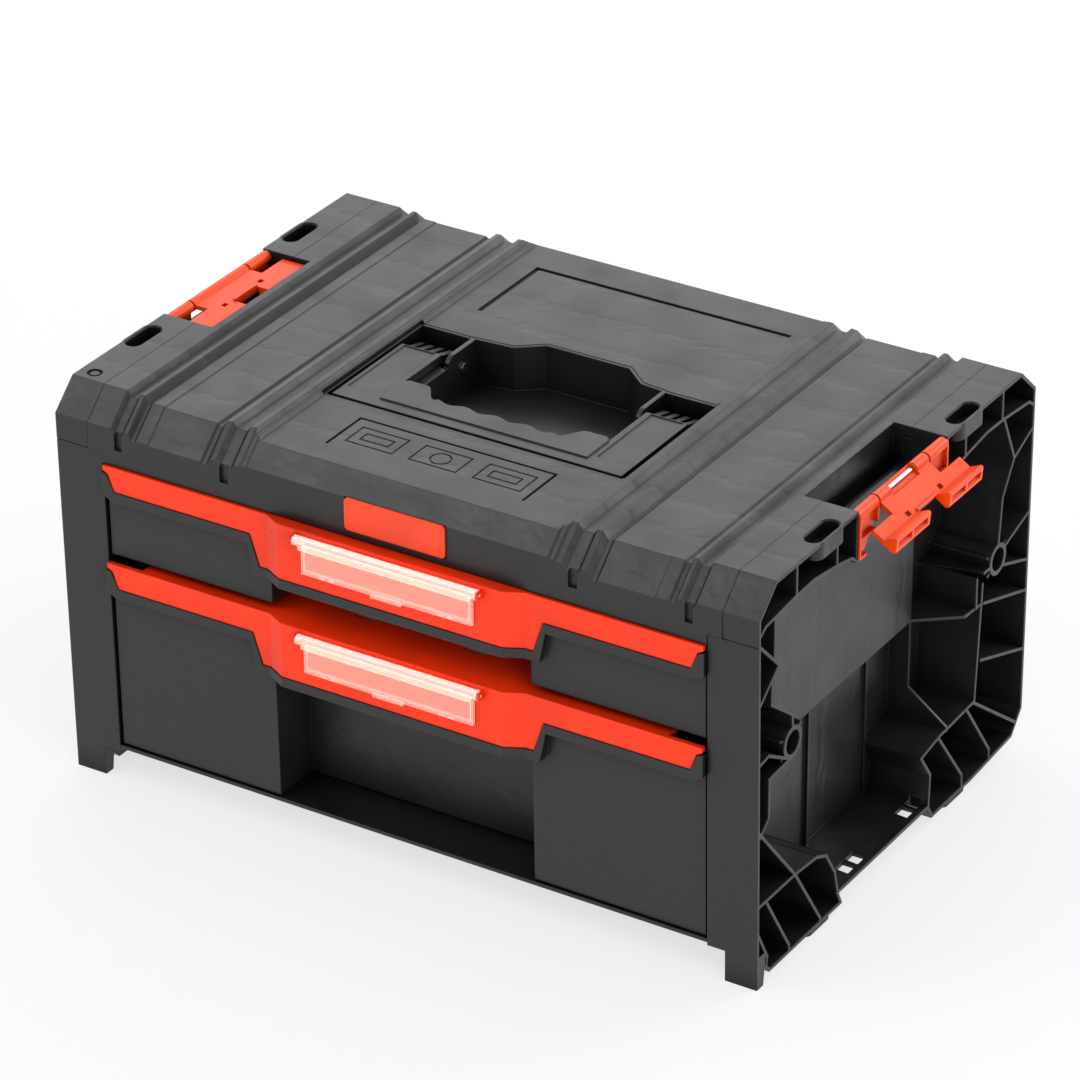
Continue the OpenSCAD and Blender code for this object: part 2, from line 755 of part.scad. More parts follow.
// the pocket behind a latch, open to the side
module latch_pocket() {
    pocket_back = notch_x - cover_wall;
    difference() {
        block([pocket_back, -notch_w / 2 - cover_wall, pocket_z - cover_wall],
              [seam_x - fit, notch_w / 2 + cover_wall, panel_z - cover_wall / 2]);
        block([notch_x, -notch_w / 2, pocket_z], [half_w, notch_w / 2, box_h]);
        // the frame's plate stands outside the pocket
        block([panel_x - frame_wall - fit, -half_d, pocket_z - over - cover_wall],
              [half_w, half_d, box_h]);
    }
}

// a tongue inside the cover that hooks over the carcass wall
module cover_tongue() {
    for (y = [-100, 80])
        block([bay_x - cover_wall - fit, y, carcass_top - 6],
              [bay_x - fit, y + 20, panel_z - cover_wall / 2]);
}

badge_z = fascia_z + 4.6;
module badge_plate() {
    corner = 1.5;
    color(red) along_y(-half_d - 0.9, -half_d + 0.6 - fit / 4) polygon([
        [-badge_w / 2 + corner, badge_z], [badge_w / 2 - corner, badge_z],
        [badge_w / 2, badge_z + corner], [badge_w / 2, badge_z + badge_h - corner],
        [badge_w / 2 - corner, badge_z + badge_h], [-badge_w / 2 + corner, badge_z + badge_h],
        [-badge_w / 2, badge_z + badge_h - corner], [-badge_w / 2, badge_z + corner]
    ]);
}

// ---- hand well and carry handle ----

shelf_z = handle_top - arm_t - slide_gap;
pocket_floor = hinge_z - knuckle_d / 2 - 1.5;
flange = 6;

module handle_well() {
    color(dark) difference() {
        union() {
            // flange under the cover, and the walls that come up through it
            translate([0, 0, cover_under - well_wall - fit]) linear_extrude(well_wall)
                handle_opening(flange);
            translate([0, 0, shelf_z - well_wall]) linear_extrude(panel_z - 0.2 - shelf_z + well_wall)
                handle_opening(0);
            translate([0, 0, well_floor - well_wall]) linear_extrude(shelf_z - well_floor + well_wall)
                well_outline(well_wall);
            on_both_sides()
                block([well_half, pocket_front - well_wall, pocket_floor - well_wall],
                      [opening_x, opening_back, shelf_z]);
        }
        // room for the arms and the front bar
        translate([-opening_x + well_wall, -opening_front + well_wall, shelf_z])
            cube([2 * (opening_x - well_wall), opening_front + pocket_front, box_h]);
        translate([0, 0, well_floor]) linear_extrude(box_h) well_outline(0);
        on_both_sides()
            block([well_half + ear_t, pocket_front, pocket_floor],
                  [opening_x - well_wall, opening_back - well_wall, box_h]);
        // the corner of each ear is round
        on_both_sides() along_x(well_half - over, well_half + ear_t + over) difference() {
            translate([pocket_front - over, panel_z - 9]) square([9 + over, 9 + over]);
            translate([pocket_front + 9, panel_z - 9]) circle(9);
        }
        on_both_sides() translate([well_half - over, hinge_y, hinge_z]) rotate([0, 90, 0])
            cylinder(h = opening_x, d = handle_pin_d + 2 * pin_gap);
        for (p = well_screw_places)
            translate([p[0], p[1], cover_under - well_wall - 2 * over])
                cylinder(h = 10, d = 2.6 + 2 * fit);
    }
}

well_screw_places = [
    for (x = [-1, 1], y = [-opening_front - 3, opening_back + 3]) [x * 80, y]
];
module well_screws() {
    color(steel) for (p = well_screw_places)
        translate([p[0], p[1], cover_under - well_wall - fit - fit / 4]) {
            translate([0, 0, -1.8]) cylinder(h = 1.8, d = 5.6);
            cylinder(h = well_wall + fit, d = 2.6);
        }
}

// the wavy inner edge of the grip, one point each side of the middle at a time
function grip_edge(x) =
    abs(x) < 40 ? -53.5 + 1.4 * cos(x * 18)
    : abs(x) < 52 ? -54 + 12.5 * (1 - cos((abs(x) - 40) * 15)) / 2
    : -41.5;
grip_end = 64;

// the loop, lying flat in its recess
module handle_loop() {
    rear = hinge_y - 13.3;
    front = -handle_front;
    translate([0, 0, handle_top - arm_t]) linear_extrude(arm_t) difference() {
        translate([-handle_half, front]) square([handle_w, rear - front]);
        translate([-handle_half + arm_w, front + 9]) square([handle_w - 2 * arm_w, 100]);
    }
    translate([0, 0, handle_top - arm_t]) linear_extrude(arm_t + 0.8) polygon(concat(
        [[-grip_end - 3, front + 8], [grip_end + 3, front + 8], [grip_end + 3, -44]],
        [for (x = [grip_end : -2 : -grip_end]) [x, grip_edge(x)]],
        [[-grip_end - 3, -44]]
    ));
    // the hollow under the grip is a ribbed channel
    for (y = [front + 9, -58])
        block([-58, y, handle_top - grip_depth], [58, y + 2.4, handle_top - arm_t + over]);
    for (x = [-58 : 14.5 : 58])
        block([x - 0.9, front + 9, handle_top - grip_depth], [x + 0.9, -57, handle_top - arm_t + over]);
}

module handle_knuckle() {
    inner = handle_half - arm_w + 1.6;
    outer = handle_half - 1.6;
    translate([inner, hinge_y, hinge_z]) rotate([0, 90, 0]) cylinder(h = outer - inner, d = knuckle_d);
    along_x(inner, outer) polygon([
        [hinge_y - 14.5, handle_top - arm_t + over], [hinge_y - 7.4, hinge_z],
        [hinge_y + 3, hinge_z + 6.8], [hinge_y - 13.3, handle_top - 1.5]
    ]);
}

module carry_handle() {
    color(black) difference() {
        union() {
            handle_loop();
            on_both_sides() handle_knuckle();
        }
        on_both_sides() translate([handle_half - arm_w - over, hinge_y, hinge_z]) rotate([0, 90, 0])
            cylinder(h = arm_w + 2 * over, d = handle_pin_d + 2 * pin_gap);
        // three slots across each knuckle
        on_both_sides() for (k = [0 : 2])
            block([handle_half - arm_w + 5.5 + k * 6.6, hinge_y - 9, hinge_z + 2.8],
                  [handle_half - arm_w + 8.6 + k * 6.6, hinge_y + 10, hinge_z + 12]);
        // a shallow field along each arm
        on_both_sides()
            block([handle_half - arm_w + 3.6, -handle_front + 12, handle_top - 0.6],
                  [handle_half - 2.4, hinge_y - 14, handle_top + over]);
    }
}

module handle_pin() {
    color(steel) translate([well_half, hinge_y, hinge_z]) rotate([0, 90, 0]) {
        translate([0, 0, -1.2]) cylinder(h = opening_x - well_half + 0.4, d = handle_pin_d);
        translate([0, 0, -1.2]) cylinder(h = 1.2 - fit / 4, d = 6.8);
    }
}

module handle_pin_right() {
    handle_pin();
}

module handle_pin_left() {
    mirror([1, 0, 0]) handle_pin();
}

// ---- latches ----

// two hinge ears on drop arms, one at each end of the notch
module latch_bracket() {
    arm_low = rod_z - 26;
    color(orange_red) difference() {
        for (s = [-1, 1]) {
            out = s * (notch_w / 2 - fit);
            in = s * (neck_half + slide_gap + 1.2);
            translate([rod_x, (out + in) / 2, rod_z]) rotate([90, 0, 0])
                cylinder(h = abs(out - in), d = barrel_d, center = true);
            along_x(arm_x, rod_x + 1.2) polygon([
                [out, rod_z], [in, rod_z], [in, rod_z - 9], [out - s * 7, arm_low], [out, arm_low]
            ]);
            // raised edges of the drop arm
            along_x(rod_x, rod_x + 3.6) intersection() {
                polygon([
                    [out, rod_z], [in, rod_z], [in, rod_z - 9], [out - s * 7, arm_low], [out, arm_low]
                ]);
                union() {
                    translate([min(out, out - s * 1.6), arm_low]) square([1.6, 26]);
                    translate([min(in, in + s * 1.6), arm_low]) square([1.6, 26]);
                    translate([min(out, in), arm_low]) square([abs(out - in), 1.6]);
                    translate([min(out, in), rod_z - 15]) square([abs(out - in), 1.6]);
                }
            }
        }
        rod_hole();
    }
}

module rod_hole() {
    translate([rod_x, 0, rod_z]) rotate([90, 0, 0])
        cylinder(h = notch_w + 4 * rib_t, d = rod_d + 2 * pin_gap, center = true);
}

module latch_rod() {
    color(steel) translate([rod_x, 0, rod_z]) rotate([90, 0, 0])
        cylinder(h = notch_w + 2 * rib_t - 2 * fit, d = rod_d, center = true);
}

// the swinging plate, drawn level and pointing away from its rod
hook_inner = 11;     // half of the gap between the two hooks
hook_root = 12;      // distance of the hooks' root from the rod
hook_h = 6.2;        // height of the hooks above the plate
module latch_plate() {
    plate_end = latch_reach * 0.68;
    half_t = latch_t / 2;
    color(orange_red) difference() {
        union() {
            rotate([90, 0, 0]) cylinder(h = 2 * neck_half, d = barrel_d, center = true);
            block([0, -neck_half, -half_t], [plate_end, neck_half, half_t]);
            // the plate widens to two hooks, which are hollow boxes with a slanted lip
            for (s = [-1, 1]) {
                inner = min(s * hook_inner, s * latch_half);
                outer = max(s * hook_inner, s * latch_half);
                along_y(inner, outer) polygon([
                    [hook_root, -half_t], [latch_reach - 1.2, -half_t], [latch_reach, half_t - 0.8],
                    [latch_reach - 3.6, half_t + hook_h], [latch_reach - 5.2, half_t + hook_h],
                    [latch_reach - 9.2, half_t], [hook_root, half_t]
                ]);
            }
            // ridge round the plate
            block([plate_end - 1.6, -hook_inner, -half_t - 1.4], [plate_end, hook_inner, half_t + 1]);
        }
        rotate([90, 0, 0]) cylinder(h = 2 * neck_half + over, d = rod_d + 2 * pin_gap, center = true);
        // the slot that shows the rod of an open latch
        block([-barrel_d, -15, 0], [5, 14, barrel_d]);
        // cells in the hooks and small holes beside them
        for (s = [-1, 1], k = [0 : 1]) {
            cell = s * (hook_inner + 10.4 + k * 17.4);
            block([latch_reach - 4.4, cell - 7.6, half_t + 0.7],
                  [latch_reach + over, cell + 7.6, half_t + hook_h - 1.6]);
        }
        for (s = [-1, 1])
            block([plate_end - 4, s * (hook_inner + 7) - 2, -half_t - over],
                  [plate_end - 1, s * (hook_inner + 7) + 2, half_t + over]);
    }
}

module latch_bracket_right() {
    latch_bracket();
}

module latch_bracket_left() {
    mirror([1, 0, 0]) latch_bracket();
}

module latch_rod_right() {
    latch_rod();
}

module latch_rod_left() {
    mirror([1, 0, 0]) latch_rod();
}

// the right latch hangs open, the left one lies stowed in its notch
module latch_right() {
    translate([rod_x, 0, rod_z]) rotate([0, latch_hang, 0]) latch_plate();
}

module latch_left() {
    mirror([1, 0, 0]) translate([rod_x, 0, rod_z]) rotate([0, 180, 0]) latch_plate();
}

// ---- drawers ----

bar_tip = post_x - 1.2;      // half width of the red bar at its top
trim_tip = post_x - 0.5;

// the plan of the bulge in the bar, with its front moved out and its back moved in
module bulge_plan(out, depth) {
    polygon([
        [-bulge_half - slope_w, bar_y - out], [-bulge_half, bulge_y - out],
        [bulge_half, bulge_y - out], [bulge_half + slope_w, bar_y - out],
        [bulge_half + slope_w - depth * 0.5, bar_y - out + depth],
        [bulge_half - depth * 0.5, bulge_y - out + depth],
        [-bulge_half + depth * 0.5, bulge_y - out + depth],
        [-bulge_half - slope_w + depth * 0.5, bar_y - out + depth]
    ]);
}

// the black part of a drawer: tray, front blocks and the trim under the red bar
module drawer_tray(top, bottom) {
    trim_top = top - bar_h;
    centre_top = top - bar_drop_h;
    tray_top = top - 3.6;
    block_back = front_zone - 0.6;
    lean = [front_y(bottom) + 1.5, front_y(tray_top) + 1.5];
    color(black) {
        difference() {
            union() {
                block([-tray_x, recess_y, bottom], [tray_x, tray_back, tray_top]);
                on_both_sides() along_x(grip_half, front_half) polygon([
                    [lean[0], bottom], [block_back, bottom], [block_back, tray_top], [lean[1], tray_top]
                ]);
                on_both_sides()
                    block([grip_half, block_back - over, bottom],
                          [tray_x, max(recess_y, block_back) + over, tray_top]);
            }
            block([-tray_x + tray_wall, recess_y + tray_wall, bottom + tray_wall],
                  [tray_x - tray_wall, tray_back - tray_wall, tray_top + over]);
            on_both_sides() along_x(grip_half + tray_wall, tray_x - tray_wall) polygon([
                [lean[0] + tray_wall, bottom + tray_wall],
                [recess_y + tray_wall + over, bottom + tray_wall],
                [recess_y + tray_wall + over, tray_top + over], [lean[1] + tray_wall, tray_top + over]
            ]);
            // the ends of the blocks are hollow from behind
            on_both_sides() along_x(tray_x + tray_wall, front_half - tray_wall) polygon([
                [lean[0] + tray_wall, bottom + tray_wall], [block_back + over, bottom + tray_wall],
                [block_back + over, tray_top - tray_wall], [lean[1] + tray_wall, tray_top - tray_wall]
            ]);
            // the red bar sits in front of the upper part of the blocks
            block([-box_w, -box_d, trim_top - 0.3], [box_w, bar_y + bar_t + fit, box_h]);
            // seats of the bar's two screws
            on_both_sides() drawer_screw_hole(trim_top);
        }
        // the trim, whose ends turn up beside the red bar
        on_both_sides() difference() {
            along_y(bar_y - 0.6, block_y + 3) polygon([
                [grip_half - 2, centre_top - trim_h], [grip_half + 8, centre_top - trim_h],
                [grip_half + 12, trim_top - trim_h],
                [trim_tip - 6, trim_top - trim_h], [trim_tip, trim_top - trim_h + 3],
                [trim_tip, top - 4], [trim_tip - 3.4, top - 4.9],
                [trim_tip - 8, trim_top - 0.3], [grip_half + 10.6, trim_top - 0.3],
                [grip_half + 4.4, centre_top - 0.3], [grip_half - 2, centre_top - 0.3]
            ]);
            block([front_half, block_y, 0], [box_w, 0, box_h]);
        }
        translate([0, 0, centre_top - trim_h]) linear_extrude(trim_h - 0.3) bulge_plan(0.6, bar_t);
    }
}

label_y = bulge_y - 3.3;     // axis that a label window swings on
label_drop = 4.3;            // height of that axis below the top of the bar
label_pin_d = 1.8;
lug_l = 3.8;                 // length of a window's end lug

// the red bar: a front that drops in the middle, and a shelf over the finger recess
module drawer_grip(top) {
    trim_top = top - bar_h;
    centre_top = top - bar_drop_h;
    shelf_back = recess_y - fit;
    color(red) difference() {
        union() {
            difference() {
                along_y(bar_y, bar_y + bar_t) polygon([
                    [-bar_tip, top], [-bar_tip, top - 3], [-bar_tip + 3.4, top - 4.8],
                    [-bar_tip + 7.2, trim_top], [-grip_half - 10.4, trim_top],
                    [-grip_half - 4.2, centre_top], [grip_half + 4.2, centre_top],
                    [grip_half + 10.4, trim_top], [bar_tip - 7.2, trim_top],
                    [bar_tip - 3.4, top - 4.8], [bar_tip, top - 3], [bar_tip, top]
                ]);
                block([-bulge_half - slope_w + bar_t, -box_d, 0], [bulge_half + slope_w - bar_t, 0, box_h]);
            }
            translate([0, 0, centre_top]) linear_extrude(bar_drop_h) bulge_plan(0, bar_t);
            translate([0, 0, top - 2.6]) linear_extrude(2.6) {
                translate([-tray_x, bar_y + 1]) square([2 * tray_x, shelf_back - bar_y - 1]);
                polygon([
                    [-bulge_half - slope_w, bar_y + 1], [-bulge_half, bulge_y + 1],
                    [bulge_half, bulge_y + 1], [bulge_half + slope_w, bar_y + 1]
                ]);
            }
            // ears that hold the label window
            on_both_sides() block([label_w / 2 + lug_l + fit, label_y - 1.7, top - label_drop - 2],
                                  [label_w / 2 + lug_l + 2, bulge_y + 0.6, top - label_drop + 2]);
        }
        // the shallow seat behind the label window
        block([-label_w / 2 - fit, bulge_y - over, top - 5 - label_h],
              [label_w / 2 + fit, bulge_y + 0.8, top - 5]);
        translate([0, label_y, top - label_drop]) rotate([0, 90, 0])
            cylinder(h = label_w + 2 * lug_l + 6, d = label_pin_d + 2 * pin_gap, center = true);
        // two slots in the shelf
        on_both_sides() block([28, recess_y - 16, top - 4], [44, recess_y - 10.5, top + over]);
        on_both_sides() drawer_screw_hole(trim_top);
    }
}

// the clear window that swings up on two stub pins
module label_window(top) {
    half = label_w / 2;
    edge = 1.6;
    color(clear) translate([0, label_y, top - label_drop]) {
        rotate([0, 90, 0]) cylinder(h = label_w, d = 5.2, center = true);
        // a lug and a stub pin at each end
        rotate([0, 90, 0]) cylinder(h = label_w + 2 * lug_l, d = 5.8, center = true);
        rotate([0, 90, 0]) cylinder(h = label_w + 2 * lug_l + 3.4, d = label_pin_d, center = true);
        // lip under the bar, in three lengths
        for (k = [-1 : 1]) {
            length = k == 0 ? 27 : half - 14.5;
            middle = k * (14.5 + length / 2);
            block([middle - length / 2, -2.6, -4.2], [middle + length / 2, -1.5, 0]);
        }
        // the pane, with a raised edge
        difference() {
            block([-half, 0.4, -label_h], [half, 2.6, 0]);
            block([-half + edge, -over, -label_h + 2.6], [half - edge, 1.2, -2.4]);
        }
        for (x = [-41, -35, 35, 41])
            block([x - 1.3, -0.3, -label_h + 0.7], [x + 1.3, 0.6, -label_h + 1.6]);
        // finger catch at the lower edge
        translate([0, 0.6, -label_h - 0.4]) rotate([0, 90, 0]) cylinder(h = 19, d = 2.6, center = true);
    }
}

// screws from inside the blocks into the bar
screw_x = 140;
module drawer_screw_hole(z) {
    translate([screw_x, bar_y + 1.4, z + 7]) rotate([-90, 0, 0]) cylinder(h = 9, d = 2.6 + 2 * fit);
}

module drawer_screws(top) {
    seat_z = top - bar_h + 7;
    seat_y = front_y(seat_z - 3) + 1.5 + tray_wall + fit / 2;
    grip = seat_y - bar_y - 1.8;
    color(steel) on_both_sides() translate([screw_x, seat_y, seat_z]) rotate([-90, 0, 0]) {
        cylinder(h = 2, d = 5.6);
        translate([0, 0, -grip]) cylinder(h = grip, d = 2.6);
    }
}

module upper_drawer_tray() {
    drawer_tray(bar_top, upper_bottom);
}

module lower_drawer_tray() {
    drawer_tray(lower_top, lower_bottom);
}

module upper_drawer_grip() {
    drawer_grip(bar_top);
}

module lower_drawer_grip() {
    drawer_grip(lower_top);
}

module upper_label_window() {
    label_window(bar_top);
}

module lower_label_window() {
    label_window(lower_top);
}

module upper_drawer_screws() {
    drawer_screws(bar_top);
}

module lower_drawer_screws() {
    drawer_screws(lower_top);
}

// ---- slides ----

upper_slide_z = upper_bottom + 26;
lower_slide_z = (lower_top + lower_bottom) / 2;
rail_gap = 0.4;

// the fixed outer channel, with lips that trap the rail
module channel(z) {
    lip = channel_h / 2 - 6;
    color(steel) translate([channel_x, channel_y, z]) {
        block([-steel_t, 0, -channel_h / 2], [0, channel_l, channel_h / 2]);
        for (s = [-1, 1]) {
            edge = s * channel_h / 2;
            block([-channel_d, 0, min(edge, edge - s * steel_t)],
                  [-steel_t / 2, channel_l, max(edge, edge - s * steel_t)]);
            block([-channel_d, 0, min(edge, s * lip)],
                  [-channel_d + steel_t, channel_l, max(edge, s * lip)]);
        }
    }
}

// the inner rail that is fixed to the tray
module rail(z) {
    body_h = channel_h / 2 - steel_t - rail_gap;
    stem_h = channel_h / 2 - 6 - rail_gap;
    color(steel) translate([channel_x, channel_y, z]) {
        block([-channel_d + steel_t + rail_gap, 2, -body_h],
              [-steel_t - rail_gap, channel_l - 4, body_h]);
        block([-channel_d - 2.4, 2, -stem_h],
              [-channel_d + steel_t + rail_gap + 0.5, channel_l - 4, stem_h]);
        block([tray_x + fit / 2 - channel_x, 2, -body_h], [-channel_d - 2, channel_l - 4, body_h]);
    }
}

module channel_upper_right() {
    channel(upper_slide_z);
}

module channel_upper_left() {
    mirror([1, 0, 0]) channel(upper_slide_z);
}

module channel_lower_right() {
    channel(lower_slide_z);
}

module channel_lower_left() {
    mirror([1, 0, 0]) channel(lower_slide_z);
}

module rail_upper_right() {
    rail(upper_slide_z);
}

module rail_upper_left() {
    mirror([1, 0, 0]) rail(upper_slide_z);
}

module rail_lower_right() {
    rail(lower_slide_z);
}

module rail_lower_left() {
    mirror([1, 0, 0]) rail(lower_slide_z);
}

carcass();
top_cover();
side_frame_left();
side_frame_right();
frame_screws_left();
frame_screws_right();
handle_well();
well_screws();
carry_handle();
handle_pin_left();
handle_pin_right();
badge_plate();
latch_bracket_left();
latch_bracket_right();
latch_rod_left();
latch_rod_right();
latch_left();
latch_right();
upper_drawer_tray();
upper_drawer_grip();
upper_label_window();
upper_drawer_screws();
lower_drawer_tray();
lower_drawer_grip();
lower_label_window();
lower_drawer_screws();
channel_upper_left();
channel_upper_right();
channel_lower_left();
channel_lower_right();
rail_upper_left();
rail_upper_right();
rail_lower_left();
rail_lower_right();
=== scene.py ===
import math

import bpy
from mathutils import Matrix, Vector


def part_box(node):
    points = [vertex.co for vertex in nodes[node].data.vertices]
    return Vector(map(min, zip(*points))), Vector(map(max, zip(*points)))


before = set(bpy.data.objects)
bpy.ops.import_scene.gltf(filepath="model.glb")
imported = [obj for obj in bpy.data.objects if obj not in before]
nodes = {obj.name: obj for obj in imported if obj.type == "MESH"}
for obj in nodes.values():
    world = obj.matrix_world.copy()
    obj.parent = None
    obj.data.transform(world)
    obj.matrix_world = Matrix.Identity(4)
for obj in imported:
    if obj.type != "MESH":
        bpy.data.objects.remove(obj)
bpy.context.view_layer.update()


print("loaded", len(nodes), "nodes")

mouldedPlastic = {
    "grainSize": 0.0007,      # metres across one grain of the spark-eroded mould
    "grainDepth": 0.00004,
    "grainStrength": 0.6,
    "mottleSize": 0.035,      # slow change of sheen and tone over a wall
    "sheenSpread": 0.075,     # how far the roughness goes up and down
    "toneSpread": 0.11,
    "sinkPitch": 0.0325,      # distance between the ribs that mark through a wall
    "sinkDepth": 0.00015,
    "sinkBend": 1.4,          # how far such a mark wanders off its straight line
    "sinkNarrow": 6.0,        # how narrow it is against the wall between two marks
    "edgeRadius": 0.0009,     # the small radius that a mould leaves on each edge
    "edgeSamples": 6,
    "cornerReach": 0.018,     # how far from an inner corner the painted shade reaches
    "cornerSheen": 0.1,       # the share of the sheen that the painted shade leaves deep in a corner
    "cornerTone": 0.3,        # and the share of the colour that it leaves
    "cornerSamples": 8,
    "index": 1.49,            # the resin's refractive index
}
bandLength = 0.314            # metres across one band of a wave texture at a scale of 1
blackShell = {"colour": "#1c1c1e", "roughness": 0.36, "sheen": 0.5}
# painted shade: a darker copy of the shell's black, for walls that stay in shade
blackInnerPaintedShade = {"colour": "#151517", "roughness": 0.36, "sheen": 0.5}
blackHandle = {"colour": "#1c1c1e", "roughness": 0.36, "sheen": 0.5}
blackDrawer = {"colour": "#1e1e20", "roughness": 0.4, "sheen": 0.5}
redGrip = {"colour": "#fe380b", "roughness": 0.34, "sheen": 0.34}
redBadge = {"colour": "#fa4a26", "roughness": 0.38, "sheen": 0.34}
redLatch = {"colour": "#ff4a08", "roughness": 0.37, "sheen": 0.34}
clearWindow = {
    "roughness": 0.09,
    "tint": "#fdf8f6",        # what the plastic lets through
    "haze": "#8e6559",        # the window's haze, tinted red as a painted reflection of the red bar behind it
    "edge": "#e4dcd8",        # the colour of the highlight painted on its edges and its top bar
    "edgeRadius": 0.0005,
    "edgeSamples": 8,
    "edgeFrom": 0.995,        # the painted highlight starts where the surface turns off the flat this far
    "edgeTo": 0.9,            # and is full here
    "barHeight": 0.0042,
    "barFade": 0.0008,
    "barShare": 0.5,          # how much of the painted highlight the bar has
    "flowScale": 90.0,        # slow waves in the moulded sheet
    "flowDepth": 0.00003,
    "index": 1.58,            # the refractive index of polycarbonate
}
drawnLines = {
    "lineDepth": 0.00002,
    "lineStrength": 0.4,
    "smoother": 0.06,         # how far the roughness goes down between the lines
    "rougher": 0.1,           # and up along them
    "edgeRadius": 0.0003,
    "edgeSamples": 4,
}
# stretch is how fine the lines are along each axis, per metre; they run along Y as the pieces do
brightSteel = {"colour": "#b9bbbf", "roughness": 0.22, "stretch": (900, 60, 900)}
slideSteel = {"colour": "#aeb2b6", "roughness": 0.34, "stretch": (500, 20, 500)}


# sRGB hex to the linear colour that a socket takes
def linear(hexColour):
    parts = [int(hexColour[i:i + 2], 16) / 255 for i in (1, 3, 5)]
    return [p / 12.92 if p <= 0.04045 else ((p + 0.055) / 1.055) ** 2.4 for p in parts] + [1.0]


# adds a node with its settings, then fills or links its inputs
def addNode(tree, kind, settings=None, inputs=None):
    node = tree.nodes.new(kind)
    for name, value in (settings or {}).items():
        setattr(node, name, value)
    for socket, value in (inputs or {}).items():
        if isinstance(value, bpy.types.NodeSocket):
            tree.links.new(value, node.inputs[socket])
        else:
            node.inputs[socket].default_value = value
    return node


def newMaterial(name):
    material = bpy.data.materials.new(name)
    material.use_nodes = True
    material.node_tree.nodes.clear()
    return material, material.node_tree


# the normal with soft edges, the grain and, where asked, the shallow marks over inner ribs
def mouldSurface(tree, place, sink):
    m = mouldedPlastic
    rounded = addNode(tree, "ShaderNodeBevel", {"samples": m["edgeSamples"]}, {"Radius": m["edgeRadius"]})
    grain = addNode(tree, "ShaderNodeTexNoise", {}, {
        "Vector": place, "Scale": 1 / m["grainSize"], "Detail": 3.0, "Roughness": 0.6})
    normal = rounded.outputs["Normal"]
    if sink:
        waves = addNode(tree, "ShaderNodeTexWave",
                        {"wave_type": "BANDS", "bands_direction": "Y", "wave_profile": "SIN"},
                        {"Vector": place, "Scale": bandLength / m["sinkPitch"],
                         "Distortion": m["sinkBend"], "Detail": 1.0, "Detail Scale": 12.0})
        narrow = addNode(tree, "ShaderNodeMath", {"operation": "POWER"},
                         {0: waves.outputs["Fac"], 1: m["sinkNarrow"]})
        sunk = addNode(tree, "ShaderNodeBump", {"invert": True}, {
            "Strength": 1.0, "Distance": m["sinkDepth"], "Height": narrow.outputs[0], "Normal": normal})
        normal = sunk.outputs["Normal"]
    bumped = addNode(tree, "ShaderNodeBump", {}, {
        "Strength": m["grainStrength"], "Distance": m["grainDepth"], "Height": grain.outputs["Fac"],
        "Normal": normal})
    return bumped.outputs["Normal"]


# injection-moulded plastic with a fine eroded grain; its colour and sheen are darkened in inner corners as
# painted shade
def plastic(name, look, sink=False):
    m = mouldedPlastic
    material, tree = newMaterial(name)
    place = addNode(tree, "ShaderNodeTexCoord").outputs["Object"]
    mottle = addNode(tree, "ShaderNodeTexNoise", {}, {
        "Vector": place, "Scale": 1 / m["mottleSize"], "Detail": 4.0, "Roughness": 0.55})
    patches = {"Value": mottle.outputs["Fac"], "From Min": 0.3, "From Max": 0.7}
    sheen = addNode(tree, "ShaderNodeMapRange", {}, {
        **patches,
        "To Min": look["roughness"] - m["sheenSpread"], "To Max": look["roughness"] + m["sheenSpread"]})
    tone = addNode(tree, "ShaderNodeMapRange", {}, {
        **patches,
        "To Min": 1 - m["toneSpread"], "To Max": 1 + m["toneSpread"]})
    # painted shade: an occlusion mask darkens the colour and the sheen in inner corners, where shade falls
    paintedCornerShade = addNode(tree, "ShaderNodeAmbientOcclusion", {"samples": m["cornerSamples"]},
                      {"Distance": m["cornerReach"]})
    paintedShadeFade = addNode(tree, "ShaderNodeMapRange", {}, {
        "Value": paintedCornerShade.outputs["AO"], "To Min": m["cornerTone"], "To Max": 1.0})
    toneAndPaintedShade = addNode(tree, "ShaderNodeMath", {"operation": "MULTIPLY"}, {
        0: tone.outputs[0], 1: paintedShadeFade.outputs[0]})
    base = addNode(tree, "ShaderNodeMix", {"data_type": "RGBA", "blend_type": "MULTIPLY"}, {
        "Factor": 1.0, "A": linear(look["colour"])})
    tree.links.new(toneAndPaintedShade.outputs[0], base.inputs["B"])
    paintedShadeMirror = addNode(tree, "ShaderNodeMapRange", {}, {
        "Value": paintedCornerShade.outputs["AO"], "To Min": look["sheen"] * m["cornerSheen"],
        "To Max": look["sheen"]})
    shader = addNode(tree, "ShaderNodeBsdfPrincipled", {}, {
        "Base Color": base.outputs["Result"], "Roughness": sheen.outputs[0], "IOR": m["index"],
        "Specular IOR Level": paintedShadeMirror.outputs[0], "Normal": mouldSurface(tree, place, sink)})
    addNode(tree, "ShaderNodeOutputMaterial", {}, {"Surface": shader.outputs[0]})
    return material


